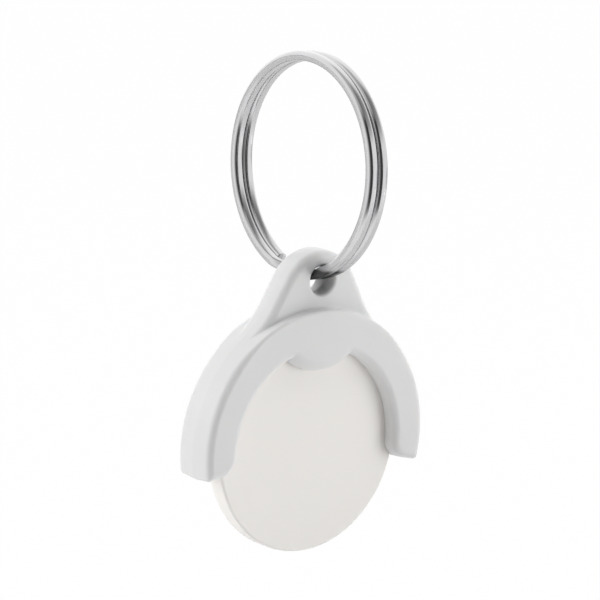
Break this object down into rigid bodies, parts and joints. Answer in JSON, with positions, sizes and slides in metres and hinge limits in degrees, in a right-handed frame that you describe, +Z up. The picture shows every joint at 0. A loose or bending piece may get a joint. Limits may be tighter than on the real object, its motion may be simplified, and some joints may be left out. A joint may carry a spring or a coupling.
{
  "type": "trolley coin keyring",
  "caption": "Trolley coin keyring: a round plastic coin gripped in a moulded horseshoe holder whose lug hangs on a steel split ring.",
  "frame": {"origin": "the point inside the top of the split ring where the keyring hangs", "axes": "+Z up along the hanging keyring, -Y out of the holder's front face towards the viewer, +X to the right along the coin's face; the ring stands in the YZ plane"},
  "size_m": [0.0288, 0.0238, 0.0527],
  "materials": {
    "holder_plastic": "smooth glossy injection moulded white plastic",
    "coin_plastic": "satin off-white moulded plastic",
    "ring_steel": "bright nickel plated steel wire"
  },
  "bodies": {
    "ring": {"split_ring": "ring_steel"},
    "clip": {"holder": "holder_plastic"},
    "token": {"coin": "coin_plastic"}
  },
  "joints": [
    {"name": "holder_swing", "type": "hinge", "parent": "ring", "child": "clip", "pos_m": [0, -0.00216, -0.02238], "axis": [0, 1, 0], "range_deg": [-130, 130]},
    {"name": "coin_slide", "type": "slide", "parent": "clip", "child": "token", "axis": [0, 0, -1], "range_m": [0, 0.0145]}
  ]
}
